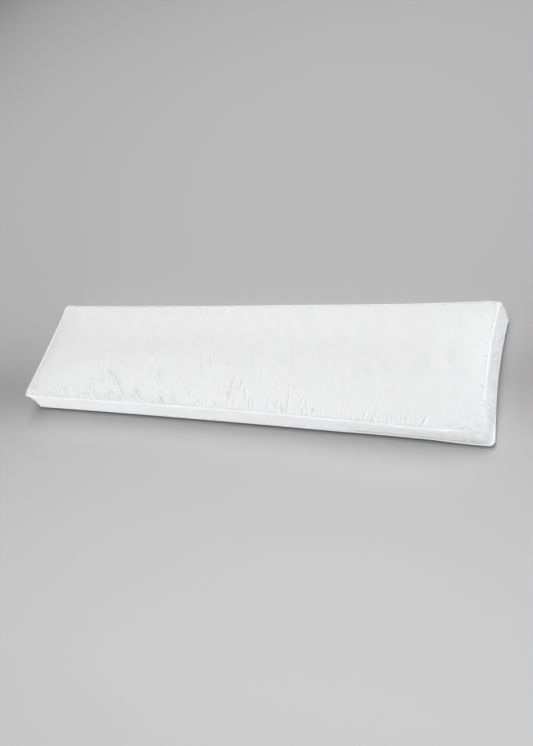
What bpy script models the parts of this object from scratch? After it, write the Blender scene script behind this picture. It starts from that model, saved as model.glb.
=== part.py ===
"""Body pillow: one long box-edged cushion, lying flat.

Metres, +Z up. +X runs along the pillow, -Y is its front side, and z = 0 is the surface it
lies on. The cushion is one filled solid: a crowned and puckered top panel, an upright boxing
strip and a flat underside. A thin cord of piping runs round each of its two seams.
"""
import math

import bmesh
import bpy

# Plan of the pillow, from seam to seam at the corners
LENGTH = 1.420
WIDTH = 0.351
BOTTOM_SPREAD = 0.003     # the bottom seam lies this much further out at each end
SEAM_CORNER = 0.012       # corner radius of both seams
STRIP_CORNER = 0.034      # corner radius half way down the boxing strip
STRIP_BULGE = 0.005       # how far the strip swells out between its seams
TOP_SHIFT = -0.002        # the top panel lies a little to the left of the bottom panel
BOTTOM_SHIFT = 0.003
FRONT_PULL = 0.006        # the top seam's front right stretch stands out over the strip
PULL_REACH = 0.645        # the pull grows from nothing at the middle over this length
CENTRE_Y = 0.003          # brings the middle of the whole pillow onto the origin

# Heights above the surface
SEAM_Z = 0.077            # top seam at the corners
SEAM_RISE = 0.005         # the top seam lifts this much half way along each side
BOTTOM_SEAM_Z = 0.007
CROWN = 0.040             # top panel's middle above its seam
CROWN_REACH = 0.178       # the crown is at full height this far in from a seam
CROWN_POWER = 2.2

# Underside: flat up to this far in from the bottom seam
UNDERSIDE_INSET = 0.026

# Piping
PIPING_RADIUS = 0.0026
PIPING_GAP = 0.0005
PIPING_TILT = 28.0        # degrees above or below level at which the cord sits on its seam
PIPING_SIDES_RESOLUTION = 1

# Mesh spacing
COLUMN_STEP = 0.011
END_STEPS = (0.0, 0.004, 0.010, 0.018, 0.026, 0.034, 0.043, 0.053, 0.064, 0.076)
ROWS = 18
ARC_STEPS = 2
STRIP_ROWS = 3
PIPING_STEP = 0.024

# How far each side of the seams is drawn in half way along it
DRAW_IN = {"front": 0.004, "back": 0.009, "left": 0.004, "right": 0.009}

# Corners of the top seam that stand up or sag: x and y signs, lift, reach
CORNER_LIFTS = (
    (-1, -1, 0.004, 0.180),
    (-1, 1, 0.004, 0.060),
    (1, 1, 0.003, 0.080),
    (1, -1, -0.007, 0.320),
    (1, -1, -0.035, 0.074),
)

# Main puckers, running up the top panel from the front seam:
# place of the foot, how far the upper end leans along X, length, depth, half width
PUCKERS = (
    (-0.530, -0.052, 0.066, 0.0018, 0.008),
    (-0.480, -0.036, 0.046, 0.0016, 0.007),
    (-0.405, -0.046, 0.064, 0.0026, 0.008),
    (-0.300, -0.094, 0.106, 0.0032, 0.009),
    (-0.345, -0.080, 0.176, 0.0016, 0.012),
    (-0.225, -0.044, 0.048, 0.0026, 0.008),
    (-0.122, -0.104, 0.108, 0.0032, 0.009),
    (-0.096, -0.022, 0.088, 0.0016, 0.008),
    (-0.042, -0.044, 0.056, 0.0024, 0.008),
    (0.034, 0.002, 0.072, 0.0016, 0.008),
    (0.080, 0.014, 0.094, 0.0022, 0.009),
    (0.116, -0.012, 0.060, 0.0020, 0.008),
    (0.227, 0.000, 0.104, 0.0028, 0.009),
    (0.256, 0.012, 0.046, 0.0018, 0.008),
    (0.428, 0.040, 0.090, 0.0028, 0.009),
    (0.566, 0.020, 0.034, 0.0024, 0.008),
)
PUCKER_SKEW = 0.7         # below 1, a pucker is deepest nearer to the seam than to its end
PUCKER_BANK = 0.4         # height of the banks beside a pucker, as a share of its depth
PUCKER_BANK_PLACE = 2.0   # distance of the banks from its middle, in half widths


def ease(t):
    """0 to 1 with level ends."""
    t = min(max(t, 0.0), 1.0)
    return t * t * (3.0 - 2.0 * t)


def mix(a, b, t):
    return a + (b - a) * t


# ---------------------------------------------------------------- outline in plan


def outward(side, along, level):
    """How far a side stands out of the straight line between its corners.

    along runs from -1 to 1 between the corners, level from 0 at the top seam to 1 at the
    bottom seam.
    """
    return STRIP_BULGE * math.sin(math.pi * level) - DRAW_IN[side] * (1.0 - along * along)


def pulled(x, y, level):
    """A point of the outline, after the top's front right stretch is pulled forward."""
    amount = ease(x / PULL_REACH) * ease(0.5 - y / WIDTH) * (1.0 - level)
    return (x, y - FRONT_PULL * amount + CENTRE_Y)


def corner_radius(level):
    return mix(SEAM_CORNER, STRIP_CORNER, math.sin(math.pi * level))


def half_arc(centre, radius, start, end):
    """Points from one angle towards another, in degrees, without the last one."""
    turns = [math.radians(mix(start, end, k / ARC_STEPS)) for k in range(ARC_STEPS)]
    return [(centre[0] + radius * math.cos(a), centre[1] + radius * math.sin(a)) for a in turns]


def side_line(side, level, steps, inset=0.0):
    """One side's points in plan, from the middle of one corner to the middle of the next."""
    half_x, half_y = LENGTH / 2 + BOTTOM_SPREAD * level - inset, WIDTH / 2 - inset
    radius = corner_radius(level)
    bulge = STRIP_BULGE * math.sin(math.pi * level)
    shift = mix(TOP_SHIFT, BOTTOM_SHIFT, level)
    flat_x, flat_y = half_x - radius, half_y - radius
    if side in ("front", "back"):
        sign = -1 if side == "front" else 1     # the arcs' angles below are in degrees
        mid = [(s * flat_x, sign * (half_y + outward(side, s, level))) for s in steps]
        first = half_arc((-flat_x, sign * flat_y), radius + bulge, sign * 135, sign * 90)
        last = half_arc((flat_x, sign * flat_y), radius + bulge, sign * 45, sign * 90)
    else:
        sign = -1 if side == "left" else 1
        mid = [(sign * (half_x + outward(side, s, level)), s * flat_y) for s in steps]
        level_angle = 180 if side == "left" else 0
        near, far = (225, 135) if side == "left" else (-45, 45)
        first = half_arc((sign * flat_x, -flat_y), radius + bulge, near, level_angle)
        last = half_arc((sign * flat_x, flat_y), radius + bulge, far, level_angle)
    return [pulled(x + shift, y, level) for x, y in first + mid + last[::-1]]


def ring(level, columns, rows, inset=0.0):
    """The whole outline at one level, anticlockwise from the near left corner."""
    front = side_line("front", level, columns, inset)
    right = side_line("right", level, rows, inset)
    back = side_line("back", level, columns, inset)
    left = side_line("left", level, rows, inset)
    return front + right[1:] + back[::-1][1:] + left[::-1][1:-1]


def column_steps(step):
    """Even steps along the length, closer together at both ends, from -1 to 1."""
    half = LENGTH / 2 - SEAM_CORNER
    inner = half - END_STEPS[-1]
    count = round(2 * inner / step)
    middle = [mix(-inner, inner, k / count) for k in range(count + 1)]
    ends = [half - d for d in END_STEPS[:-1]]
    return [x / half for x in [-d for d in ends] + middle + ends[::-1]]


def row_steps(count):
    """Steps across the width from -1 to 1, closest together at the seams."""
    return [-math.cos(math.pi * k / count) for k in range(count + 1)]


# ---------------------------------------------------------------- height of the top panel


def corner_lift(x, y):
    """How far the top seam's corners stand above or sag below the rest of it."""
    lift = 0.0
    for sign_x, sign_y, amount, reach in CORNER_LIFTS:
        corner_x, corner_y = TOP_SHIFT + sign_x * LENGTH / 2, CENTRE_Y + sign_y * WIDTH / 2
        away = math.hypot(x - corner_x, y - corner_y)
        lift += amount * ease(1.0 - away / reach)
    return lift


def seam_height(x, y):
    """Height of the top seam, which lifts half way along each side."""
    along = max(-1.0, min(1.0, 2 * (x - TOP_SHIFT) / LENGTH))
    across = max(-1.0, min(1.0, 2 * (y - CENTRE_Y) / WIDTH))
    rise = SEAM_RISE * max(1.0 - along * along, 1.0 - across * across)
    return SEAM_Z + rise + corner_lift(x, y)


def crown(from_end, from_side):
    """Height of the crown above the seam, from the distances to the nearest seams."""
    swell = CROWN
    for distance in (from_end, from_side):
        swell *= 1.0 - (1.0 - min(distance / CROWN_REACH, 1.0)) ** CROWN_POWER
    return swell


def pucker_depth(x, from_front):
    """Depth of the soft troughs that fan up from the front seam."""
    depth = 0.0
    for foot, lean, length, deepest, half_width in PUCKERS:
        t = from_front / length
        if 0.0 < t < 1.0:
            off = abs(x - foot - lean * t) / half_width
            bank = PUCKER_BANK * math.exp(-(off - PUCKER_BANK_PLACE) ** 2)
            along = math.sin(math.pi * t ** PUCKER_SKEW)
            depth += deepest * along * (math.exp(-off * off) - bank)
    return depth


# ---------------------------------------------------------------- objects


def clear_scene():
    for old in list(bpy.data.objects):
        bpy.data.objects.remove(old, do_unlink=True)


def cotton(name, colour, roughness):
    material = bpy.data.materials.new(name)
    material.use_nodes = True
    shader = material.node_tree.nodes["Principled BSDF"]
    shader.inputs["Base Color"].default_value = (*colour, 1.0)
    shader.inputs["Roughness"].default_value = roughness
    shader.inputs["Metallic"].default_value = 0.0
    return material


def add_object(name, data, material):
    obj = bpy.data.objects.new(name, data)
    obj.data.materials.append(material)
    bpy.context.scene.collection.objects.link(obj)
    return obj


def top_grid(bm, columns, rows):
    """Vertices of the top panel: x comes from the two end seams, y from the two long ones."""
    front, back = (side_line(s, 0.0, columns) for s in ("front", "back"))
    left, right = (side_line(s, 0.0, rows) for s in ("left", "right"))
    grid = []
    for j in range(len(left)):
        across = (left[j][1] - left[0][1]) / (left[-1][1] - left[0][1])
        line = []
        for i in range(len(front)):
            along = (front[i][0] - front[0][0]) / (front[-1][0] - front[0][0])
            x = mix(left[j][0], right[j][0], along)
            y = mix(front[i][1], back[i][1], across)
            from_end = min(x - left[j][0], right[j][0] - x)
            from_side = min(y - front[i][1], back[i][1] - y)
            z = seam_height(x, y) + crown(from_end, from_side)
            z -= pucker_depth(x, y - front[i][1])
            line.append(bm.verts.new((x, y, z)))
        grid.append(line)
    return grid


def grid_edge(grid):
    """The grid's outer vertices in the same order as ring()."""
    return (grid[0] + [line[-1] for line in grid[1:]] + grid[-1][-2::-1]
            + [line[0] for line in grid[-2:0:-1]])


def join_rings(bm, upper, lower):
    for k in range(len(upper)):
        n = (k + 1) % len(upper)
        bm.faces.new((upper[k], lower[k], lower[n], upper[n]))


def make_cushion():
    columns, rows = column_steps(COLUMN_STEP), row_steps(ROWS)
    bm = bmesh.new()
    grid = top_grid(bm, columns, rows)
    for near, far in zip(grid, grid[1:]):
        for i in range(len(near) - 1):
            bm.faces.new((near[i], near[i + 1], far[i + 1], far[i]))
    upper = seam = grid_edge(grid)
    for k in range(1, STRIP_ROWS + 1):
        level = k / STRIP_ROWS
        points = ring(level, columns, rows)
        lower = [bm.verts.new((x, y, mix(top.co.z, BOTTOM_SEAM_Z, level)))
                 for (x, y), top in zip(points, seam)]
        join_rings(bm, upper, lower)
        upper = lower
    flat = [bm.verts.new((x, y, 0.0)) for x, y in ring(1.0, columns, rows, UNDERSIDE_INSET)]
    join_rings(bm, upper, flat)
    bm.faces.new(flat[::-1])
    for face in bm.faces:
        face.smooth = True
    mesh = bpy.data.meshes.new("cushion")
    bm.to_mesh(mesh)
    bm.free()
    return add_object("cushion", mesh, cotton("cotton_white", (0.86, 0.87, 0.88), 0.85))


def make_piping(name, level, tilt):
    """A closed cord that lies against the outer edge of one seam."""
    columns = column_steps(PIPING_STEP)
    rows = row_steps(ROWS)
    points = ring(level, columns, rows)
    curve = bpy.data.curves.new(name, "CURVE")
    curve.dimensions = "3D"
    curve.bevel_depth = PIPING_RADIUS
    curve.bevel_resolution = PIPING_SIDES_RESOLUTION
    spline = curve.splines.new("POLY")
    spline.points.add(len(points) - 1)
    spline.use_cyclic_u = True
    reach = PIPING_RADIUS + PIPING_GAP
    for k, (x, y) in enumerate(points):
        before, after = points[k - 1], points[(k + 1) % len(points)]
        run = math.hypot(after[0] - before[0], after[1] - before[1])
        normal = ((after[1] - before[1]) / run, (before[0] - after[0]) / run)
        out, up = reach * math.cos(math.radians(tilt)), reach * math.sin(math.radians(tilt))
        z = mix(seam_height(x, y), BOTTOM_SEAM_Z, level)
        spline.points[k].co = (x + normal[0] * out, y + normal[1] * out, z + up, 1.0)
    return add_object(name, curve, cotton(name + "_cord", (0.92, 0.93, 0.94), 0.75))


def build():
    clear_scene()
    make_cushion()
    make_piping("piping_top", 0.0, PIPING_TILT)
    make_piping("piping_bottom", 1.0, -PIPING_TILT)


build()
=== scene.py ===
# %% [markdown]
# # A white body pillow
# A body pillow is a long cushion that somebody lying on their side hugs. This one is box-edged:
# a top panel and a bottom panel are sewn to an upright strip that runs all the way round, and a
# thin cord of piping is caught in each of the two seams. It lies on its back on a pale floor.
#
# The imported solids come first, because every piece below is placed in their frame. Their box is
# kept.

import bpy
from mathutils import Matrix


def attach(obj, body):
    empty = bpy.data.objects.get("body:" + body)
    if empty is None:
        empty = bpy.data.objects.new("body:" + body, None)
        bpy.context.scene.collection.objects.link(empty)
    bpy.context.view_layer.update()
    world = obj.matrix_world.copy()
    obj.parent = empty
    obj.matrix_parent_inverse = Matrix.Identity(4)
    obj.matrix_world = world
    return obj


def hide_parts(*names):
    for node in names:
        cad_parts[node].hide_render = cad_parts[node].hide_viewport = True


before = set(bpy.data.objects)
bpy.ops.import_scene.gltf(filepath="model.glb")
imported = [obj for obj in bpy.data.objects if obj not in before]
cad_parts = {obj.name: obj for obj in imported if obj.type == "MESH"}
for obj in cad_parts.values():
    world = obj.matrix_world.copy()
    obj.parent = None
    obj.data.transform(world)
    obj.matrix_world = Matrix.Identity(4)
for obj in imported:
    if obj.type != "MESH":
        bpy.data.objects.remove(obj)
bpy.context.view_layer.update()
print("solids:", sorted(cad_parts))

# %% tools
import math

import bpy
import numpy as np
from mathutils import Quaternion, Vector


def select_nothing():
    bpy.ops.object.select_all(action="DESELECT")
    bpy.context.view_layer.objects.active = None


def select_only(obj):
    select_nothing()
    obj.select_set(True)
    bpy.context.view_layer.objects.active = obj


# The loaded solids arrive selected, and an operator would act on them too
select_nothing()

# %% [markdown]
# ## Camera
# A photograph fixes one viewing angle. The seven corners of the pillow that show give the place
# of the camera, its lens and its tilt: it stands at the front right, looks down by 51 degrees,
# and is rolled, so that the pillow lies level across an upright picture. A camera could be
# turned by hand with a Track To constraint, but a constraint can't hold the roll, so the
# rotation is worked out from the point that it looks at, and the roll is added round its axis.

# %% camera
CAMERA_AT = Vector((0.886, -0.767, 1.384))
LOOKS_AT = Vector((0.0868, -0.0072, 0.0))
CAMERA_ROLL = -37.0       # degrees
LENS = 29.8               # mm, on a 36 mm sensor

towards = (LOOKS_AT - CAMERA_AT).to_track_quat("-Z", "Y")
roll = Quaternion((0.0, 0.0, 1.0), math.radians(CAMERA_ROLL))
bpy.ops.object.camera_add(location=CAMERA_AT, rotation=(towards @ roll).to_euler())
camera = bpy.context.object
camera.name = "camera"
camera.data.lens = LENS
bpy.context.scene.camera = camera
print("camera height:", round(camera.location.z, 3))

# %% [markdown]
# ## Floor and light
# White cotton shows its shape only through soft changes of shade, and a white pillow on a pale
# floor only through the floor being a little darker. The floor isn't one plain tone: painted shade
# grades it darkest beside the pillow, painted light makes it paler towards the front, and a
# contact shade is painted along the pillow's edge. All are tuned for the picture from the front,
# so other views show bands on the floor.
# Two big softboxes, one overhead and one behind, make the top panel even; weaker ones at the sides
# and at the back light the floor there. The sky is dark near the horizon, so that a thin dark gap
# is left under the raised front edge. Two long low softboxes light the upright strip nearly as
# bright as the top; they are kept off the floor, because they would light that gap as well. Small
# hard lamps would draw black lines into every crease, which the real pillow doesn't have.

# %% node helpers
def new_material(name):
    material = bpy.data.materials.new(name)
    material.use_nodes = True
    return material, material.node_tree.nodes, material.node_tree.links


def add_node(nodes, kind, **values):
    """A node with its named inputs and settings filled in."""
    node = nodes.new("ShaderNode" + kind)
    for key, value in values.items():
        if key in node.inputs:
            node.inputs[key].default_value = value
        else:
            setattr(node, key, value)
    return node


def colour_between(nodes, links, factor, dark, light, start=0.0, end=1.0):
    """A colour that goes from dark to light as the factor goes from start to end."""
    ramp = nodes.new("ShaderNodeValToRGB")
    ramp.color_ramp.elements[0].position = start
    ramp.color_ramp.elements[1].position = end
    ramp.color_ramp.elements[0].color = (*dark, 1.0)
    ramp.color_ramp.elements[1].color = (*light, 1.0)
    links.new(factor, ramp.inputs["Fac"])
    return ramp.outputs["Color"]


# %% floor
FLOOR_SIZE = 16.0
# y, and how pale the floor is there: tuned tones, with painted shade darkest beside the pillow and
# painted light palest towards the front
FLOOR_TONES = (
    (-1.10, 0.86), (-0.80, 0.82), (-0.50, 0.73), (-0.30, 0.65), (-0.20, 0.59), (-0.15, 0.52),
    (-0.10, 0.45), (-0.05, 0.405), (0.00, 0.405), (0.06, 0.44), (0.12, 0.475), (0.20, 0.505),
    (0.35, 0.52))
FLOOR_TURN = 4.8          # degrees by which the tones run askew to the pillow
CLOUDINESS = 0.02
# painted shade: the floor is darker this near to the pillow, by up to this share
CONTACT_REACH, CONTACT_SHADE = 0.014, 0.75
# the painted contact shade fades out along x
SHADE_FADE = (0.58, 0.72)  # x from which the contact shade fades, and at which it is gone

bpy.ops.mesh.primitive_plane_add(size=FLOOR_SIZE)
floor = bpy.context.object
floor.name = "floor"
material, nodes, links = new_material("pale_floor_painted_light_and_shade")
shader = nodes["Principled BSDF"]
shader.inputs["Roughness"].default_value = 0.9
place = add_node(nodes, "TexCoord")
clouds = add_node(nodes, "TexNoise", Scale=1.5, Detail=2.0)
links.new(place.outputs["Object"], clouds.inputs["Vector"])
askew = add_node(nodes, "Mapping", Rotation=(0.0, 0.0, -math.radians(FLOOR_TURN)))
links.new(place.outputs["Object"], askew.inputs["Vector"])
axes = add_node(nodes, "SeparateXYZ")
links.new(askew.outputs["Vector"], axes.inputs["Vector"])
behind = nodes.new("ShaderNodeMapRange")
behind.inputs["From Min"].default_value = FLOOR_TONES[0][0]
behind.inputs["From Max"].default_value = FLOOR_TONES[-1][0]
links.new(axes.outputs["Y"], behind.inputs["Value"])
cloudy = add_node(nodes, "Math", operation="MULTIPLY_ADD")
cloudy.inputs[1].default_value = CLOUDINESS
links.new(clouds.outputs["Fac"], cloudy.inputs[0])
links.new(behind.outputs["Result"], cloudy.inputs[2])
# painted shade and light: the floor's colour follows y, darkest beside the pillow and palest
# towards the front
tones = nodes.new("ShaderNodeValToRGB")
while len(tones.color_ramp.elements) < len(FLOOR_TONES):
    tones.color_ramp.elements.new(0.5)
for stop, (y, tone) in zip(tones.color_ramp.elements, FLOOR_TONES):
    stop.position = (y - FLOOR_TONES[0][0]) / (FLOOR_TONES[-1][0] - FLOOR_TONES[0][0])
    stop.color = (tone, tone, tone, 1.0)
links.new(cloudy.outputs["Value"], tones.inputs["Fac"])
# painted contact shade: ambient occlusion darkens the floor's colour right beside the pillow
openness = add_node(nodes, "AmbientOcclusion", Distance=CONTACT_REACH)
contact = nodes.new("ShaderNodeMapRange")
links.new(openness.outputs["AO"], contact.inputs["Value"])
# tuned for the picture: the painted contact shade fades out towards the right end, though the gap
# under the edge is the same there
fade = nodes.new("ShaderNodeMapRange")
fade.inputs["From Min"].default_value, fade.inputs["From Max"].default_value = SHADE_FADE
fade.inputs["To Min"].default_value = 1.0 - CONTACT_SHADE
links.new(axes.outputs["X"], fade.inputs["Value"])
links.new(fade.outputs["Result"], contact.inputs["To Min"])
# the floor's colour with the painted contact shade multiplied in
painted_shade_on_floor = add_node(nodes, "VectorMath", operation="SCALE")
links.new(tones.outputs["Color"], painted_shade_on_floor.inputs[0])
links.new(contact.outputs["Result"], painted_shade_on_floor.inputs["Scale"])
links.new(painted_shade_on_floor.outputs["Vector"], shader.inputs["Base Color"])
floor.data.materials.append(material)
print("floor:", FLOOR_SIZE, "m wide")

# %% sky
HORIZON_STRENGTH, ZENITH_STRENGTH = 0.01, 0.30
HORIZON_TO, ZENITH_FROM = 0.45, 0.95        # sines of the heights between which the sky brightens

world = bpy.context.scene.world or bpy.data.worlds.new("studio")
bpy.context.scene.world = world
world.use_nodes = True
nodes, links = world.node_tree.nodes, world.node_tree.links
background = nodes["Background"]
background.inputs["Color"].default_value = (1.0, 1.0, 1.0, 1.0)
direction = add_node(nodes, "TexCoord")
height = add_node(nodes, "SeparateXYZ")
links.new(direction.outputs["Generated"], height.inputs["Vector"])
strength = nodes.new("ShaderNodeMapRange")
strength.inputs["From Min"].default_value = HORIZON_TO
strength.inputs["From Max"].default_value = ZENITH_FROM
strength.inputs["To Min"].default_value = HORIZON_STRENGTH
strength.inputs["To Max"].default_value = ZENITH_STRENGTH
links.new(height.outputs["Z"], strength.inputs["Value"])
links.new(strength.outputs["Result"], background.inputs["Strength"])
bpy.context.scene.view_settings.view_transform = "Standard"
print("sky:", HORIZON_STRENGTH, "to", ZENITH_STRENGTH)

# %% softboxes
# name, place, width and height, power in watts, colour, whether it lights the floor too
SOFTBOXES = (
    ("softbox_behind", (0.3, 2.2, 3.6), (2.0, 2.0), 56.0, (1.0, 1.0, 1.0), True),
    ("softbox_top", (0.35, 0.2, 3.0), (2.0, 2.0), 37.0, (1.0, 1.0, 1.0), True),
    ("softbox_left", (-3.0, 0.4, 1.1), (1.2, 1.2), 8.0, (1.0, 0.995, 0.985), True),
    ("softbox_backdrop", (-2.6, 2.6, 2.2), (1.5, 1.5), 20.0, (1.0, 1.0, 1.0), True),
    ("softbox_far_right", (2.4, 0.2, 1.9), (1.4, 1.4), 7.0, (0.95, 0.965, 1.0), True),
    ("softbox_front", (-0.62, -2.6, 0.13), (2.6, 0.24), 47.0, (0.975, 0.985, 1.0), False),
    ("softbox_right", (2.8, -0.2, 0.13), (1.8, 0.24), 24.0, (0.975, 0.98, 1.0), False),
)

# fill lights whose shadows would darken the floor beside the right end
WITHOUT_SHADOW = ("softbox_left", "softbox_backdrop")

unlit = bpy.data.collections.new("not_lit_from_the_sides")
unlit.objects.link(floor)
unlit.collection_objects[0].light_linking.link_state = "EXCLUDE"
for name, location, size, power, colour, lights_floor in SOFTBOXES:
    aim = (-Vector(location)).to_track_quat("-Z", "Y").to_euler()
    bpy.ops.object.light_add(type="AREA", location=location, rotation=aim)
    softbox = bpy.context.object
    softbox.name = name
    softbox.data.shape = "RECTANGLE"
    softbox.data.size, softbox.data.size_y = size
    softbox.data.energy = power
    softbox.data.use_shadow = name not in WITHOUT_SHADOW
    softbox.data.color = colour
    if not lights_floor:
        softbox.light_linking.receiver_collection = unlit
print("softboxes:", len(SOFTBOXES))

# %% [markdown]
# ## The sewn cover, cut flat
# The cover is three pieces of cotton. A cube could be cut into a grid, but its six sides would
# get the same number of cuts. Here the top panel is a fine grid, because it carries the creases,
# its rim is extruded down row by row as the upright strip, and a coarser grid closes the
# underside, which nobody sees. Each point keeps its place on this flat-cut cover
# in an attribute called cut: x, y, and how far down the strip it is, from 0 to 1. However far
# the cloth moves later, a crease or a thread still knows which spot of the cover it is on.

# %% cover sizes
LENGTH = 1.420
WIDTH = 0.351
SEAM_Z = 0.077            # top seam at the corners
BOTTOM_SEAM_Z = 0.0105
CELL_X, CELL_Y = 0.0034, 0.0060     # most creases run across, so cells are short along the pillow
STRIP_ROWS = 11
# fine rings beside the bottom seam, before the coarse cells
UNDERSIDE_RINGS, UNDERSIDE_RING = 2, 0.004
UNDERSIDE_CELL = 0.012

# %% cover
def add_panel(name, height, length, width, cell_x, cell_y):
    bpy.ops.mesh.primitive_grid_add(
        x_subdivisions=round(length / cell_x), y_subdivisions=round(width / cell_y), size=1.0,
        location=(0.0, 0.0, height))
    panel = bpy.context.object
    panel.name = name
    panel.scale = (length, width, 1.0)
    bpy.ops.object.transform_apply(location=True, rotation=True, scale=True)
    return panel


def select_rims():
    """Open edges of the object in edit mode."""
    bpy.ops.mesh.select_mode(type="EDGE")
    bpy.ops.mesh.select_all(action="DESELECT")
    bpy.ops.mesh.select_non_manifold()


select_nothing()
cover = add_panel("pillow_cover", SEAM_Z, LENGTH, WIDTH, CELL_X, CELL_Y)
bpy.ops.object.mode_set(mode="EDIT")
select_rims()
for row in range(STRIP_ROWS):
    bpy.ops.mesh.extrude_region_move(
        TRANSFORM_OT_translate={"value": (0.0, 0.0, (BOTTOM_SEAM_Z - SEAM_Z) / STRIP_ROWS)})
for ring in range(UNDERSIDE_RINGS):
    inner = (1 - 2 * UNDERSIDE_RING * (ring + 1) / LENGTH,
             1 - 2 * UNDERSIDE_RING * (ring + 1) / WIDTH)
    outer = 1 - 2 * UNDERSIDE_RING * ring / LENGTH, 1 - 2 * UNDERSIDE_RING * ring / WIDTH
    bpy.ops.mesh.extrude_region_move(TRANSFORM_OT_translate={"value": (0.0, 0.0, 0.0)})
    bpy.ops.transform.resize(value=(inner[0] / outer[0], inner[1] / outer[1], 1.0),
                             center_override=(0.0, 0.0, BOTTOM_SEAM_Z))
bpy.ops.object.mode_set(mode="OBJECT")

rim = 2 * (UNDERSIDE_RINGS * UNDERSIDE_RING + UNDERSIDE_CELL)
underside = add_panel("underside", BOTTOM_SEAM_Z, LENGTH - rim, WIDTH - rim,
                      UNDERSIDE_CELL, UNDERSIDE_CELL)
select_only(cover)
underside.select_set(True)
bpy.ops.object.join()
bpy.ops.object.mode_set(mode="EDIT")
select_rims()
# Known fault: this joins each side of the rim to the opposite side of the inner panel, so the
# joining faces cross underneath. It needs about half a turn.
bpy.ops.mesh.bridge_edge_loops()
bpy.ops.mesh.select_all(action="SELECT")
bpy.ops.mesh.normals_make_consistent(inside=False)
select_rims()
bpy.ops.object.mode_set(mode="OBJECT")
print("cover:", len(cover.data.vertices), "points,", len(cover.data.polygons), "cells,",
      sum(edge.select for edge in cover.data.edges), "open edges")


# %% where each point is on the cut cover
def get_points(mesh):
    co = np.empty(len(mesh.vertices) * 3)
    mesh.vertices.foreach_get("co", co)
    return co.reshape(-1, 3)


def set_points(mesh, co):
    mesh.vertices.foreach_set("co", co.ravel())
    mesh.update()


def get_cut(mesh):
    values = np.empty(len(mesh.vertices) * 3)
    mesh.attributes["cut"].data.foreach_get("vector", values)
    return values.reshape(-1, 3).T.round(6)


cut_places = get_points(cover.data)
cut_places[:, 2] = (SEAM_Z - cut_places[:, 2]) / (SEAM_Z - BOTTOM_SEAM_Z)
attribute = cover.data.attributes.new("cut", "FLOAT_VECTOR", "POINT")
attribute.data.foreach_set("vector", cut_places.ravel())
print("cut runs to", cut_places.max(axis=0).round(3))

# %% [markdown]
# ## The filled shape
# Filling turns the flat box into a pillow: the corners go round, the sides are drawn in between
# them, the strip swells out between its seams, and the top panel rises to a crown. These are
# broad, even forms, so they are moves in code that take each point of the cut cover to its
# place, with the same measures as the solid. The pillow was also dragged a little on its
# bed: the top lies to the left of the bottom, and the near right corner sags.

# %% outline
# corner's x and y sign: radius of its top seam, of the strip's upper edge and of its bottom seam,
# and how much rounder the strip is half way down
CORNERS = (
    (-1, -1, 0.012, 0.012, 0.012, 0.014),
    (-1, 1, 0.012, 0.012, 0.012, 0.022),
    (1, 1, 0.030, 0.002, 0.013, 0.000),
    (1, -1, 0.040, 0.028, 0.013, 0.000),
)
UPPER_EDGE = 1 / STRIP_ROWS         # the strip's upper edge, as a share of the way down the strip
STRIP_BULGE = 0.002
# the front strip sinks in near its right end
STRIP_HOLLOW, HOLLOW_FROM, HOLLOW_LENGTH = 0.009, 0.350, 0.04
HOLLOW_LEAN = 2.2         # above 1 the hollow is deepest low down
HOLLOW_SLOPE, HOLLOW_START = 4.0, 1.0      # how it comes in across the pillow
SWELL_LOSS = 0.6          # share of the low swell that it takes away
LOW_SWELL, LOW_SWELL_AT = 0.0022, 0.86     # the strip also rolls out over the bottom piping
BOTTOM_SPREAD = 0.003
TOP_SHIFT, BOTTOM_SHIFT = -0.002, 0.0075
# front and back: the top seam is drawn in at the left end
LEFT_TUCK, TUCK_FROM, TUCK_LENGTH = (0.0075, 0.0035), 0.45, 0.26
FRONT_PULL, PULL_REACH = 0.006, 0.645
FRONT_FOOT = 0.0010       # the front of the strip stands out this far at its foot
CORNER_FOOT, CORNER_FROM, CORNER_LENGTH = 0.0030, 0.55, 0.12    # and more towards the right
CENTRE_Y = 0.003
DRAW_IN = {"front": 0.004, "back": 0.010, "left": 0.006, "right": 0.010}


def ease(t):
    """0 to 1 with level ends."""
    t = np.clip(t, 0.0, 1.0)
    return t * t * (3.0 - 2.0 * t)


def mix(a, b, t):
    return a + (b - a) * t


def round_corners(x, y, half_x, half_y, radius):
    """Points of a sharp rectangle taken to one with round corners, and their directions."""
    inset = np.minimum(half_x - abs(x), half_y - abs(y))
    reach_x, reach_y = half_x - inset, half_y - inset
    radius = np.maximum(radius - inset, 1e-6)
    on_long_side = reach_y - abs(y) <= reach_x - abs(x)
    from_corner = (reach_x - abs(x)) + (reach_y - abs(y))
    turn = np.clip(1.0 - from_corner / radius, 0.0, 1.0) * math.pi / 4
    near, far = np.sin(turn), np.cos(turn)
    in_arc = turn > 0.0
    ahead_x = np.where(in_arc, reach_x - radius + radius * near, abs(x))
    ahead_y = np.where(in_arc, reach_y - radius + radius * near, abs(y))
    new_x = np.where(on_long_side, ahead_x, reach_x - radius * (1.0 - far))
    new_y = np.where(on_long_side, reach_y - radius * (1.0 - far), ahead_y)
    out_x, out_y = np.where(on_long_side, near, far), np.where(on_long_side, far, near)
    return np.sign(x) * new_x, np.sign(y) * new_y, np.sign(x) * out_x, np.sign(y) * out_y


def corner_radius(x, y, level):
    """Corner radius that goes with a point: that of the nearest corner, at its level."""
    radius = 0.0 * level
    for sign_x, sign_y, top, edge, bottom, hollow in CORNERS:
        here = np.interp(level, (0.0, UPPER_EDGE, 1.0), (top, edge, bottom))
        here = here + hollow * np.sin(math.pi * level)
        radius = np.where((x * sign_x >= 0.0) & (y * sign_y >= 0.0), here, radius)
    return radius


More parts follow.
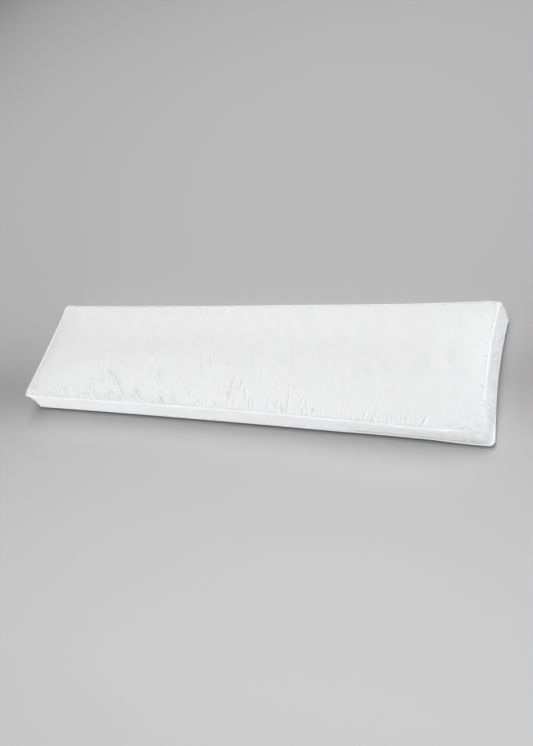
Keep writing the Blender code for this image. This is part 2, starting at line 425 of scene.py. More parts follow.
def pillow_plan(x, y, level):
    """Where a point of the cut cover lies, seen from above, and which way is outwards there."""
    half_x, half_y = LENGTH / 2 + BOTTOM_SPREAD * level, WIDTH / 2
    along, across = x / LENGTH + 0.5, y / WIDTH + 0.5
    swell = STRIP_BULGE * np.sin(math.pi * level)
    sunk = ease((x - HOLLOW_FROM) / HOLLOW_LENGTH) * ease(-HOLLOW_SLOPE * y / WIDTH - HOLLOW_START)
    swell = mix(swell, -STRIP_HOLLOW * np.sin(math.pi * level ** HOLLOW_LEAN), sunk)
    low = LOW_SWELL * ease(level / LOW_SWELL_AT) * ease((1.0 - level) / (1.0 - LOW_SWELL_AT))
    swell = swell + low * (1.0 - SWELL_LOSS * sunk)
    radius = corner_radius(x, y, level)
    x, y, out_x, out_y = round_corners(x * half_x / (LENGTH / 2), y, half_x, half_y, radius)
    x, y = x + out_x * swell, y + out_y * swell
    by_x, by_y = 1.0 - (2.0 * along - 1.0) ** 2, 1.0 - (2.0 * across - 1.0) ** 2
    y = y + by_x * mix(DRAW_IN["front"], -DRAW_IN["back"], across)
    x = x + by_y * mix(DRAW_IN["left"], -DRAW_IN["right"], along)
    x = x + mix(*LEFT_TUCK, across) * (1.0 - level) * ease((-x - TUCK_FROM) / TUCK_LENGTH)
    x = x + mix(TOP_SHIFT, BOTTOM_SHIFT, level)
    pull = ease(x / PULL_REACH) * ease(0.5 - y / WIDTH) * (1.0 - level)
    foot = FRONT_FOOT + CORNER_FOOT * ease((x - CORNER_FROM) / CORNER_LENGTH)
    foot = foot * level * (1.0 - across)
    return x, y - FRONT_PULL * pull - foot + CENTRE_Y, out_x, out_y


# %% heights
# the seams lie higher halfway along each side
FRONT_RISE, BACK_RISE, END_RISE = 0.001, 0.003, 0.005
BACK_SAG, SAG_AT, SAG_REACH = 0.006, 0.52, 0.45           # and the far one sags near its right end
CROWN, CROWN_REACH, CROWN_POWER = 0.040, 0.178, 2.2
EDGE_PUFF, EDGE_PUFF_REACH = 0.002, 0.003   # the panel rolls up steeply beside its piping
UNDERSIDE_INSET = 0.060
FLAP_RISE, FLAP_REACH = 0.009, 0.045        # the strip stands out flat at the far right corner
# corner's x and y sign, lift, reach
CORNER_LIFTS = (
    (-1, -1, 0.004, 0.180),
    (-1, 1, 0.004, 0.060),
    (1, 1, 0.001, 0.080),
    (1, -1, -0.007, 0.320),
    (1, -1, -0.017, 0.130),
)


def seam_height(x, y):
    along = np.clip(2 * (x - TOP_SHIFT) / LENGTH, -1.0, 1.0)
    across = np.clip(2 * (y - CENTRE_Y) / WIDTH, -1.0, 1.0)
    rise = mix(FRONT_RISE, BACK_RISE, across / 2 + 0.5) * (1.0 - along ** 2)
    height = SEAM_Z + np.maximum(rise, END_RISE * (1.0 - across ** 2))
    height = height - BACK_SAG * ease(across) * ease(1.0 - abs(x - SAG_AT) / SAG_REACH)
    for sign_x, sign_y, lift, reach in CORNER_LIFTS:
        corner_x, corner_y = TOP_SHIFT + sign_x * LENGTH / 2, CENTRE_Y + sign_y * WIDTH / 2
        height = height + lift * ease(1.0 - np.hypot(x - corner_x, y - corner_y) / reach)
    return height


def crown_height(x, y):
    """Height above the seams of a point of the cut top panel."""
    inset = np.minimum(LENGTH / 2 - abs(x), WIDTH / 2 - abs(y))
    height = CROWN
    for distance in (LENGTH / 2 - abs(x), WIDTH / 2 - abs(y)):
        height = height * (1.0 - (1.0 - np.clip(distance / CROWN_REACH, 0.0, 1.0)) ** CROWN_POWER)
    return height + EDGE_PUFF * (1.0 - np.exp(-inset / EDGE_PUFF_REACH))


def filled_shape(cut, fullness=1.0):
    """Places of all the points of the cover when it is filled."""
    x, y, level = cut
    px, py, _, _ = pillow_plan(x, y, level)
    seam_x, seam_y, _, _ = pillow_plan(x, y, 0.0 * level)
    top = seam_height(seam_x, seam_y) + fullness * crown_height(x, y)
    inset = np.minimum(LENGTH / 2 - abs(x), WIDTH / 2 - abs(y))
    under = BOTTOM_SEAM_Z * (1.0 - np.clip(inset / UNDERSIDE_INSET, 0.0, 1.0)) ** 1.5
    z = np.where(level <= 0.0, top, np.where(level >= 1.0, under, mix(top, BOTTOM_SEAM_Z, level)))
    flap = ease(1.0 - np.hypot(LENGTH / 2 - x, WIDTH / 2 - y) / FLAP_REACH)
    flap = flap * np.interp(level, (0.0, UPPER_EDGE, 3 * UPPER_EDGE, 1.0), (0.0, 1.0, 0.0, 0.0))
    return np.stack((px, py, z + FLAP_RISE * flap), axis=1)


START_FULLNESS = 0.86     # the cloth then swells to its full height

set_points(cover.data, filled_shape(get_cut(cover.data), START_FULLNESS))
print("height before filling:", round(get_points(cover.data)[:, 2].max(), 4))

# %% [markdown]
# ## Filling it
# The swell of cotton under pressure can be sculpted by hand, or simulated. A cloth simulation is
# used, because it puts the fine unevenness beside the seams where real cloth would
# have it. The seams, the strip and the underside are held, gravity is off, pressure pushes out
# from inside, and the cloth is a little larger than its outline, as fabric is when the stitches
# gather it. A point may move only so far, or the pillow would grow out of its size.

# %% cloth
PRESSURE = 4.0
SPARE_CLOTH = 0.004
CLOTH_FRAMES = 20
MOST_MOVE = 0.010


def hold(obj, held):
    """Puts the held points in a group that pins them."""
    group = obj.vertex_groups.new(name="held")
    group.add([int(i) for i in np.flatnonzero(held)], 1.0, "REPLACE")
    return group.name


def fill_with_pressure(obj, held):
    before = get_points(obj.data).copy()
    select_only(obj)
    bpy.ops.object.modifier_add(type="CLOTH")
    cloth = obj.modifiers[-1]
    cloth.settings.use_pressure = True
    cloth.settings.uniform_pressure_force = PRESSURE
    cloth.settings.shrink_min = -SPARE_CLOTH
    cloth.settings.effector_weights.gravity = 0.0
    cloth.settings.vertex_group_mass = hold(obj, held)
    for number in range(1, CLOTH_FRAMES + 1):
        bpy.context.scene.frame_set(number)
    bpy.ops.object.modifier_apply(modifier=cloth.name)
    bpy.context.scene.frame_set(1)
    move = get_points(obj.data) - before
    length = np.linalg.norm(move, axis=1, keepdims=True)
    print("cloth moved up to", round(float(length.max()) * 1000, 1), "mm")
    set_points(obj.data, before + move * np.minimum(1.0, MOST_MOVE / np.maximum(length, 1e-9)))


cut_x, cut_y, level = get_cut(cover.data)
on_seam = np.minimum(LENGTH / 2 - abs(cut_x), WIDTH / 2 - abs(cut_y)) < CELL_X / 2
fill_with_pressure(cover, (level > 0.0) | on_seam)
print("height after filling:", round(get_points(cover.data)[:, 2].max(), 4))

# %% subdivide
select_only(cover)
bpy.ops.object.modifier_add(type="SUBSURF")
cover.modifiers[-1].levels = cover.modifiers[-1].render_levels = 1
bpy.ops.object.modifier_apply(modifier=cover.modifiers[-1].name)

# %% soft corner
# the near right corner is soft: its seam rolls over without an edge
SOFT_CORNER, SOFT_STEPS, SOFT_LEVEL = 0.085, 45, 0.6

cut_x, cut_y, level = get_cut(cover.data)
soft = np.hypot(LENGTH / 2 - cut_x, WIDTH / 2 + cut_y) < SOFT_CORNER
cover.data.vertices.foreach_set("select", soft & (level < SOFT_LEVEL))
cover.data.edges.foreach_set("select", np.zeros(len(cover.data.edges), bool))
cover.data.polygons.foreach_set("select", np.zeros(len(cover.data.polygons), bool))
bpy.ops.object.mode_set(mode="EDIT")
bpy.ops.mesh.select_mode(type="VERT")
bpy.ops.mesh.vertices_smooth(factor=0.5, repeat=SOFT_STEPS)
bpy.ops.mesh.select_all(action="DESELECT")
bpy.ops.object.mode_set(mode="OBJECT")
bpy.ops.object.shade_smooth_by_angle(angle=math.radians(50))
print("cover:", len(cover.data.polygons), "cells,", int(soft.sum()), "points at the soft corner")

# %% [markdown]
# ## Creases
# The top panel is drawn down by soft troughs that fan up from the front seam, each with a low
# bank at either side. They could be painted in sculpt mode, but a table keeps every crease as a
# named measure that can be changed by itself. Each row is one crease, from its foot near the
# seam to its upper end, as uneven as on the real pillow.

# %% creases of the front
# foot's x and distance from the front seam, upper end's x and distance, sideways bow, depth and
# half width
FRONT_CREASES = (
    (-0.525, 0.003, -0.544, 0.036, 0.0000, 0.0066, 0.0040),
    (-0.550, 0.032, -0.569, 0.058, 0.0000, 0.0030, 0.0036),
    (-0.502, 0.007, -0.513, 0.024, 0.0000, 0.0047, 0.0030),
    (-0.476, 0.002, -0.495, 0.023, 0.0000, 0.0035, 0.0029),
    (-0.408, 0.003, -0.449, 0.047, -0.0027, 0.0062, 0.0034),
    (-0.389, 0.002, -0.426, 0.037, -0.0011, 0.0013, 0.0028),
    (-0.420, 0.043, -0.441, 0.067, 0.0000, 0.0031, 0.0040),
    (-0.387, 0.055, -0.433, 0.140, -0.0020, 0.0037, 0.0046),
    (-0.362, 0.096, -0.413, 0.171, 0.0013, 0.0028, 0.0046),
    (-0.348, 0.043, -0.381, 0.093, -0.0000, 0.0080, 0.0034),
    (-0.298, 0.003, -0.348, 0.072, -0.0008, 0.0080, 0.0039),
    (-0.344, 0.005, -0.362, 0.034, 0.0000, 0.0052, 0.0030),
    (-0.284, 0.006, -0.298, 0.027, 0.0000, 0.0017, 0.0028),
    (-0.318, 0.087, -0.337, 0.122, 0.0000, 0.0051, 0.0050),
    (-0.238, 0.009, -0.269, 0.040, -0.0023, 0.0080, 0.0033),
    (-0.228, 0.005, -0.246, 0.025, 0.0000, 0.0048, 0.0031),
    (-0.201, 0.103, -0.235, 0.154, 0.0000, 0.0040, 0.0044),
    (-0.185, 0.052, -0.224, 0.109, -0.0036, 0.0080, 0.0040),
    (-0.173, 0.050, -0.192, 0.083, 0.0000, 0.0047, 0.0028),
    (-0.155, 0.011, -0.181, 0.043, 0.0003, 0.0049, 0.0031),
    (-0.157, 0.002, -0.171, 0.017, 0.0000, 0.0059, 0.0029),
    (-0.118, 0.001, -0.154, 0.030, -0.0015, 0.0026, 0.0027),
    (-0.123, 0.025, -0.132, 0.049, 0.0000, 0.0032, 0.0033),
    (-0.110, 0.060, -0.111, 0.087, 0.0000, 0.0025, 0.0030),
    (-0.087, 0.047, -0.103, 0.076, 0.0000, 0.0034, 0.0046),
    (-0.069, 0.022, -0.082, 0.049, 0.0000, 0.0041, 0.0030),
    (-0.098, 0.009, -0.100, 0.030, 0.0000, 0.0023, 0.0028),
    (-0.049, 0.001, -0.069, 0.020, 0.0000, 0.0028, 0.0027),
    (-0.036, 0.004, -0.050, 0.023, 0.0000, 0.0028, 0.0028),
    (-0.019, 0.004, -0.029, 0.021, 0.0000, 0.0020, 0.0027),
    (0.015, 0.007, 0.004, 0.022, 0.0000, 0.0039, 0.0026),
    (-0.044, 0.110, -0.062, 0.169, 0.0000, 0.0013, 0.0054),
    (-0.015, 0.114, -0.027, 0.151, 0.0000, 0.0020, 0.0044),
    (0.020, 0.133, 0.007, 0.162, 0.0000, 0.0007, 0.0038),
    (0.045, 0.113, 0.027, 0.134, 0.0000, 0.0022, 0.0046),
    (-0.042, 0.072, -0.052, 0.109, 0.0000, 0.0022, 0.0028),
    (0.038, 0.033, 0.038, 0.069, -0.0009, 0.0032, 0.0030),
    (0.051, 0.024, 0.046, 0.048, 0.0000, 0.0059, 0.0028),
    (0.059, 0.033, 0.057, 0.054, 0.0000, 0.0036, 0.0027),
    (0.058, 0.055, 0.068, 0.089, -0.0030, 0.0038, 0.0040),
    (0.084, 0.048, 0.099, 0.094, -0.0020, 0.0029, 0.0040),
    (0.070, 0.005, 0.070, 0.033, 0.0000, 0.0038, 0.0035),
    (0.108, 0.030, 0.100, 0.061, 0.0000, 0.0041, 0.0043),
    (0.117, 0.006, 0.117, 0.035, 0.0000, 0.0059, 0.0030),
    (0.130, 0.010, 0.130, 0.029, 0.0000, 0.0024, 0.0030),
    (0.146, 0.091, 0.142, 0.116, 0.0000, 0.0013, 0.0030),
    (0.164, 0.049, 0.156, 0.062, 0.0000, 0.0018, 0.0034),
    (0.167, 0.011, 0.179, 0.039, 0.0000, 0.0027, 0.0041),
    (0.194, 0.014, 0.202, 0.036, 0.0000, 0.0032, 0.0030),
    (0.194, 0.058, 0.198, 0.082, 0.0000, 0.0019, 0.0040),
    (0.204, 0.093, 0.216, 0.112, 0.0000, 0.0021, 0.0043),
    (0.226, 0.003, 0.233, 0.080, 0.0012, 0.0025, 0.0029),
    (0.243, 0.068, 0.244, 0.091, 0.0000, 0.0013, 0.0026),
    (0.215, 0.001, 0.213, 0.026, 0.0000, 0.0041, 0.0032),
    (0.260, 0.019, 0.272, 0.047, 0.0000, 0.0027, 0.0029),
    (0.282, 0.019, 0.281, 0.040, 0.0000, 0.0029, 0.0027),
    (0.299, 0.011, 0.297, 0.023, 0.0000, 0.0070, 0.0026),
    (0.267, 0.006, 0.275, 0.020, 0.0000, 0.0025, 0.0029),
    (0.366, 0.005, 0.364, 0.023, 0.0000, 0.0025, 0.0029),
    (0.373, 0.011, 0.377, 0.024, 0.0000, 0.0010, 0.0026),
    (0.383, 0.032, 0.380, 0.043, 0.0000, 0.0021, 0.0026),
    (0.401, 0.006, 0.404, 0.024, 0.0000, 0.0015, 0.0032),
    (0.448, 0.033, 0.474, 0.082, -0.0020, 0.0019, 0.0032),
    (0.431, 0.009, 0.440, 0.029, 0.0000, 0.0029, 0.0026),
    (0.455, 0.011, 0.467, 0.031, 0.0000, 0.0031, 0.0026),
    (0.424, -0.001, 0.423, 0.010, 0.0000, 0.0019, 0.0026),
    (0.443, 0.002, 0.442, 0.015, 0.0000, 0.0006, 0.0026),
    (0.457, -0.001, 0.451, 0.012, 0.0000, 0.0029, 0.0026),
    (0.470, 0.003, 0.469, 0.018, 0.0000, 0.0015, 0.0026),
    (0.488, 0.002, 0.495, 0.021, 0.0000, 0.0032, 0.0026),
    (0.499, 0.009, 0.498, 0.021, 0.0000, 0.0055, 0.0026),
    (0.524, 0.010, 0.524, 0.023, 0.0000, 0.0014, 0.0026),
    (0.536, 0.011, 0.534, 0.021, 0.0000, 0.0017, 0.0026),
    (0.565, -0.000, 0.586, 0.029, -0.0007, 0.0029, 0.0026),
)
BANK, BANK_PLACE = 0.5, 1.8
SEAM_FADE = 0.005         # creases die out this close to the stitches


# how a trough comes in at its foot and runs out at its head, in shares of its length
FOOT_LEAD, FOOT_LENGTH, HEAD_END, HEAD_LENGTH = 0.10, 0.25, 1.12, 0.45


def trough(x, y, foot, head, bow, half_width):
    """1 along the middle of a crease from foot to head, below 0 on its banks, 0 away from it."""
    run_x, run_y = head[0] - foot[0], head[1] - foot[1]
    run = math.hypot(run_x, run_y)
    t = ((x - foot[0]) * run_x + (y - foot[1]) * run_y) / run ** 2
    off = ((x - foot[0]) * run_y - (y - foot[1]) * run_x) / run
    off = abs(off - bow * np.sin(math.pi * np.clip(t, 0.0, 1.0))) / half_width
    along = ease((t + FOOT_LEAD) / FOOT_LENGTH) * ease((HEAD_END - t) / HEAD_LENGTH)
    return along * (np.exp(-off ** 2) - BANK * np.exp(-(off - BANK_PLACE) ** 2))


def press(points, inward, x, y, foot, head, bow, depth, half_width):
    """Presses one crease into the points, each along its own inward direction."""
    reach = 4 * half_width + abs(bow) + 0.15 * math.hypot(head[0] - foot[0], head[1] - foot[1])
    near = (x > min(foot[0], head[0]) - reach) & (x < max(foot[0], head[0]) + reach)
    near &= (y > min(foot[1], head[1]) - reach) & (y < max(foot[1], head[1]) + reach)
    near = np.flatnonzero(near)
    dent = depth * trough(x[near], y[near], foot, head, bow, half_width)
    points[near] += dent[:, None] * inward[near]


cut_x, cut_y, level = get_cut(cover.data)
points = get_points(cover.data)
on_top = level <= 0.0
inset = np.minimum(LENGTH / 2 - abs(cut_x), WIDTH / 2 - abs(cut_y))
top_x, top_y = np.where(on_top, cut_x, np.nan), np.where(on_top, cut_y, np.nan)
downwards = np.zeros_like(points)
downwards[:, 2] = -ease(inset / SEAM_FADE)
for foot_x, foot_y, head_x, head_y, bow, depth, half_width in FRONT_CREASES:
    press(points, downwards, top_x, top_y + WIDTH / 2, (foot_x, foot_y), (head_x, head_y), bow,
          depth, half_width)
print("front creases:", len(FRONT_CREASES))

# %% creases of the right end and of the far seam
# as above, but the places are x and y on the cut panel
END_CREASES = (
    (0.704, 0.048, 0.667, 0.048, 0.0000, 0.0020, 0.0026),
    (0.706, 0.037, 0.688, 0.034, 0.0000, 0.0011, 0.0026),
    (0.707, 0.027, 0.689, 0.022, 0.0000, 0.0008, 0.0026),
    (0.708, 0.014, 0.694, 0.010, 0.0000, 0.0036, 0.0026),
    (0.709, -0.020, 0.675, -0.025, 0.0011, 0.0021, 0.0026),
    (0.709, -0.053, 0.693, -0.050, 0.0000, 0.0022, 0.0026),
    (0.713, -0.062, 0.696, -0.064, 0.0000, 0.0058, 0.0026),
    (0.709, -0.037, 0.698, -0.034, 0.0000, 0.0008, 0.0026),
    (0.703, -0.059, 0.705, -0.033, 0.0000, 0.0006, 0.0026),
    (0.712, -0.093, 0.697, -0.097, 0.0000, 0.0048, 0.0026),
    (0.711, -0.105, 0.697, -0.106, 0.0000, 0.0028, 0.0026),
    (0.709, -0.078, 0.698, -0.079, 0.0000, 0.0032, 0.0026),
    (0.709, -0.117, 0.698, -0.118, 0.0000, 0.0010, 0.0026),
    (0.613, -0.165, 0.645, -0.158, 0.0000, 0.0039, 0.0026),
    (0.644, -0.168, 0.664, -0.160, 0.0000, 0.0065, 0.0026),
    (0.666, -0.164, 0.704, -0.148, 0.0062, 0.0022, 0.0026),
    (0.667, -0.174, 0.708, -0.161, 0.0029, 0.0055, 0.0026),
    (0.711, -0.132, 0.707, -0.160, -0.0017, 0.0070, 0.0026),
    (0.704, -0.175, 0.713, -0.152, 0.0000, 0.0049, 0.0026),
    (0.634, -0.167, 0.619, -0.171, 0.0000, 0.0021, 0.0026),
    (0.583, 0.175, 0.551, 0.184, 0.0000, 0.0006, 0.0026),
    (-0.057, 0.144, -0.049, 0.179, 0.0000, 0.0048, 0.0056),
    (-0.013, 0.111, -0.007, 0.153, 0.0000, 0.0008, 0.0048),
    (-0.142, 0.151, -0.127, 0.168, 0.0000, 0.0048, 0.0066),
    (0.240, 0.149, 0.251, 0.167, 0.0000, 0.0036, 0.0052),
    (0.294, 0.116, 0.286, 0.160, 0.0000, 0.0007, 0.0030),
)
for foot_x, foot_y, head_x, head_y, bow, depth, half_width in END_CREASES:
    press(points, downwards, top_x, top_y, (foot_x, foot_y), (head_x, head_y),
          bow, depth, half_width)
print("end creases:", len(END_CREASES))

# %% groove beside the right seam
GROOVE, GROOVE_AT, GROOVE_HALF_WIDTH = 0.0034, 0.0034, 0.0018
END_CLEAR, END_FADE = 0.012, 0.02      # the groove stops short of the corners

near_end = ease((WIDTH / 2 - END_CLEAR - abs(cut_y)) / END_FADE) * on_top
groove = GROOVE * near_end * np.exp(-((LENGTH / 2 - cut_x - GROOVE_AT) / GROOVE_HALF_WIDTH) ** 2)
points[:, 2] -= groove

# %% gathers
# The panel is eased onto its piping in small gathers, so each side gets short troughs that start at
# the stitches. Side: distance between gathers, length, depth, half width
GATHERS = {
    "front": (0.0085, 0.017, 0.0016, 0.0023),
    "back": (0.0140, 0.011, 0.0013, 0.0026),
    "left": (0.0120, 0.012, 0.0012, 0.0026),
    "right": (0.0070, 0.011, 0.0010, 0.0023),
}
# x along the front: how far its gathers lean sideways for each metre that they run in
FRONT_LEAN = ((-0.70, -0.5), (-0.50, -0.8), (-0.30, -0.95), (-0.12, -0.8), (0.03, 0.0),
              (0.36, 0.05), (0.45, 0.45), (0.62, 0.7))
# x along the front: how much deeper and closer its gathers are than the table says
FRONT_STRENGTH = ((-0.70, 2.6), (-0.30, 2.4), (-0.05, 1.6), (0.10, 0.9), (0.45, 0.7), (0.70, 0.7))
CORNER_MARGIN = 0.020
random = np.random.default_rng(12)


def seam_places(side, x, y):
    """How far along a side of the cut panel a point is, and how far in from it."""
    return {"front": (x, y + WIDTH / 2), "back": (x, WIDTH / 2 - y),
            "left": (y, x + LENGTH / 2), "right": (y, LENGTH / 2 - x)}[side]


def gather_side(side, spacing, length, depth, half_width):
    along, inwards = seam_places(side, top_x, top_y)
    end = (LENGTH if side in ("front", "back") else WIDTH) / 2 - CORNER_MARGIN
    place, count = -end, 0
    while place < end:
        lean, strength = random.normal(0.0, 0.25), 1.0
        if side == "front":
            lean += np.interp(place, *zip(*FRONT_LEAN))
            strength = np.interp(place, *zip(*FRONT_STRENGTH))
        run = length * random.uniform(0.45, 1.7)
        press(points, downwards, along, inwards, (place, 0.002), (place + lean * run, run), 0.0,
              strength * depth * random.uniform(0.4, 1.3), half_width * random.uniform(0.85, 1.25))
        place += spacing / math.sqrt(strength) * random.uniform(0.5, 1.6)
        count += 1
    return count


for side, measures in GATHERS.items():
    print(side, "gathers:", gather_side(side, *measures))

# %% dimples and lumps
# x, y on the cut panel, radius, depth
DIMPLES = (
    (-0.341, -0.016, 0.011, 0.0023),
    (-0.318, -0.012, 0.012, 0.0024),
    (-0.289, -0.109, 0.008, 0.0014),
    (-0.263, -0.106, 0.010, 0.0016),
    (-0.043, 0.017, 0.008, 0.0018),
    (-0.045, 0.007, 0.007, 0.0010),
    (-0.012, -0.110, 0.017, 0.0027),
    (-0.031, -0.116, 0.010, 0.0016),
    (0.020, -0.109, 0.010, 0.0012),
    (0.130, -0.107, 0.007, 0.0016),
    (0.349, -0.088, 0.012, 0.0021),
    (0.406, -0.090, 0.010, 0.0018),
    (0.397, -0.012, 0.011, 0.0019),
    (0.376, -0.073, 0.013, 0.0019),
    (0.334, 0.010, 0.012, 0.0021),
    (0.271, 0.008, 0.017, 0.0021),
    (0.414, 0.013, 0.012, 0.0021),
    (0.534, 0.016, 0.009, 0.0014),
    (0.441, -0.040, 0.018, 0.0027),
    (0.418, -0.074, 0.013, 0.0023),
    (0.447, -0.083, 0.017, 0.0030),
    (0.505, -0.092, 0.014, 0.0025),
    (0.544, -0.091, 0.009, 0.0012),
    (0.567, -0.015, 0.012, 0.0036),
    (0.621, 0.009, 0.015, 0.0030),
    (0.619, -0.014, 0.013, 0.0029),
    (0.690, -0.062, 0.012, 0.0016),
)
LUMP_FADE = 0.03          # the lumps die away this near to the seams
LUMP, LUMP_WAVES = 0.0010, 24
LUMP_SPAN = (0.045, 0.14)  # shortest and longest distance from one lump to the next

for dimple_x, dimple_y, radius, depth in DIMPLES:
    off = np.hypot(cut_x - dimple_x, cut_y - dimple_y) / radius
    points += (depth * on_top * np.exp(-off ** 2))[:, None] * downwards
lumps = np.zeros(len(points))
for wave in range(LUMP_WAVES):
    turn, span = random.uniform(0.0, math.pi), random.uniform(*LUMP_SPAN)
    phase = 2 * math.pi * (cut_x * math.cos(turn) + cut_y * math.sin(turn)) / span
    lumps += np.cos(phase + random.uniform(0.0, 2 * math.pi)) / math.sqrt(LUMP_WAVES)
points += (LUMP * on_top * lumps * ease(inset / LUMP_FADE))[:, None] * downwards
set_points(cover.data, points)
print("lumps:", round(float(lumps.std()) * LUMP * 1000, 2), "mm")

# %% [markdown]
# ## The strip's own creases
# The strip is cut straight and pulled round the filling, so it shows long faint drag lines and,
# beside its two seams, short gathers. They are pressed sideways, towards the middle of the
# pillow.

# %% strip creases
STRIP_HEIGHT = SEAM_Z - BOTTOM_SEAM_Z
# kind: distance from one to the next, length along and down the strip, depth, half width
STRIP_CREASES = {
    "drag line": (0.030, (0.075, 0.006), 0.0020, 0.0032),
    "upper gather": (0.016, (0.003, 0.016), 0.0011, 0.0028),
    "lower gather": (0.020, (0.004, 0.014), 0.0010, 0.0030),
    "diagonal": (0.030, (0.022, 0.030), 0.0018, 0.0034),
}
SEAM_STRIP_FADE = 0.004
_, _, out_x, out_y = pillow_plan(cut_x, cut_y, level)
down = level * STRIP_HEIGHT
strip_fade = ease(down / SEAM_STRIP_FADE) * ease((STRIP_HEIGHT - down) / SEAM_STRIP_FADE)
sideways = np.stack((-out_x * strip_fade, -out_y * strip_fade, 0.0 * down), axis=1)


def strip_places(side):
    """How far along one side of the strip each point is; points elsewhere get none."""
    along, inwards = seam_places(side, cut_x, cut_y)
    return np.where((abs(inwards) < CELL_X / 8) & (level > 0.0) & (level < 1.0), along, np.nan)


def crease_strip(side, kind, spacing, size, depth, half_width):
    along = strip_places(side)
    end = (LENGTH if side in ("front", "back") else WIDTH) / 2 - CORNER_MARGIN / 2
    place, count = -end, 0
    while place < end:
        run, drop = (part * random.uniform(0.5, 1.5) for part in size)
        start = {"upper gather": 0.001, "lower gather": STRIP_HEIGHT - 0.001 - drop}.get(
            kind, random.uniform(0.1, 0.8) * STRIP_HEIGHT)
        run *= random.choice((-1.0, 1.0))
        press(points, sideways, along, down, (place, start), (place + run, start + drop), 0.0,
              depth * random.uniform(0.3, 1.3), half_width * random.uniform(0.85, 1.3))
        place += spacing * random.uniform(0.4, 1.6)
        count += 1
    return count


# side, place along it and down the strip of one end of the fold and of the other, sideways bow,
# depth and half width
STRIP_FOLDS = (
    ("right", -0.097, 0.012, -0.097, 0.063, 0.000, 0.0050, 0.0034),
    ("right", -0.109, 0.009, -0.109, 0.060, 0.000, 0.0050, 0.0034),
    ("right", -0.121, 0.006, -0.124, 0.048, 0.000, 0.0050, 0.0034),
    ("right", 0.036, 0.012, 0.057, 0.063, 0.000, 0.0050, 0.0034),
    ("right", 0.021, 0.015, 0.057, 0.045, 0.000, 0.0050, 0.0034),
    ("right", 0.009, 0.009, 0.027, 0.063, 0.000, 0.0050, 0.0034),
    ("right", -0.033, 0.021, -0.030, 0.051, 0.000, 0.0050, 0.0034),
    ("right", -0.048, 0.009, -0.042, 0.042, 0.000, 0.0050, 0.0034),
    ("right", 0.145, 0.009, 0.136, 0.039, 0.000, 0.0050, 0.0034),
    ("right", 0.127, 0.003, 0.109, 0.036, 0.000, 0.0050, 0.0034),
    ("right", 0.106, 0.051, 0.076, 0.036, 0.000, 0.0050, 0.0034),
    ("right", -0.076, 0.039, -0.082, 0.063, 0.000, 0.0050, 0.0034),
    ("front", 0.598, 0.039, 0.623, 0.057, 0.000, 0.0036, 0.0030),
    ("front", 0.617, 0.036, 0.634, 0.060, 0.000, 0.0036, 0.0030),
    ("front", 0.635, 0.042, 0.652, 0.063, 0.000, 0.0036, 0.0030),
    ("front", 0.656, 0.048, 0.647, 0.063, 0.000, 0.0036, 0.0030),
    ("front", 0.661, 0.048, 0.683, 0.060, 0.000, 0.0036, 0.0030),
    ("front", 0.581, 0.045, 0.601, 0.057, 0.000, 0.0036, 0.0030),
)
for side, from_x, from_down, to_x, to_down, bow, depth, half_width in STRIP_FOLDS:
    press(points, sideways, strip_places(side), down, (from_x, from_down), (to_x, to_down),
          bow, depth, half_width)
for side in GATHERS:
    count = sum(crease_strip(side, kind, *measures) for kind, measures in STRIP_CREASES.items())
    print(side, "strip creases:", count)

# %% rumples of the near right corner
RUMPLE_SLOPE = 1.5
RUMPLE, RUMPLE_REACH, RUMPLE_WAVES = 0.0016, 0.120, 12
RUMPLE_SPAN = (0.010, 0.024)        # shortest and longest distance from one rumple to the next

from_corner = np.hypot(LENGTH / 2 - cut_x, WIDTH / 2 + cut_y)
rumple = np.zeros(len(points))
for wave in range(RUMPLE_WAVES):
    turn, span = random.uniform(0.0, math.pi), random.uniform(*RUMPLE_SPAN)
    across_x, across_y = math.cos(turn) / span, math.sin(turn) / span
    phase = 2 * math.pi * ((cut_x - down) * across_x + (cut_y - down) * across_y)
    rumple += np.cos(phase + random.uniform(0.0, 2 * math.pi)) / math.sqrt(RUMPLE_WAVES)
rumple *= RUMPLE * ease(RUMPLE_SLOPE - RUMPLE_SLOPE * from_corner / RUMPLE_REACH) * (level < 1.0)
points += rumple[:, None] * (np.where(on_top[:, None], downwards, sideways))
set_points(cover.data, points)
print("rumples:", round(float(abs(rumple).max()) * 1000, 2), "mm")

# %% [markdown]
# ## Piping
# Piping is a cord wrapped in a narrow strip of the same cotton and caught in the seam. The line
# of each seam is already in the cover, so it is copied out of it, turned into a curve and given a
# round bevel. The cord then follows every lift and sag of its seam, which a path drawn
# afresh wouldn't.

# %% piping
PIPING_RADIUS = 0.0030
# degrees above level at which the cord sits on its seam, on each side
TOP_TILTS = {"front": -10.0, "back": 8.0, "left": 4.0, "right": -10.0}
BOTTOM_TILTS = {"front": 0.0, "back": 0.0, "left": 0.0, "right": 0.0}
# how deep the cord sits in the seam
TOP_BEDDING = {"front": 0.0018, "back": 0.0014, "left": 0.0014, "right": 0.0042}
BOTTOM_BEDDING = {"front": 0.0022, "back": 0.0022, "left": 0.0022, "right": 0.0022}
SUNK, SUNK_REACH = 0.0080, 0.160    # the panel rumples over the cord at the near right corner


def side_value(values, out_x, out_y):
    """Blends the values of the four sides by the outward direction."""
    across = np.where(out_y > 0.0, values["back"], values["front"])
    along = np.where(out_x > 0.0, values["right"], values["left"])
    return across * out_y ** 2 + along * out_x ** 2


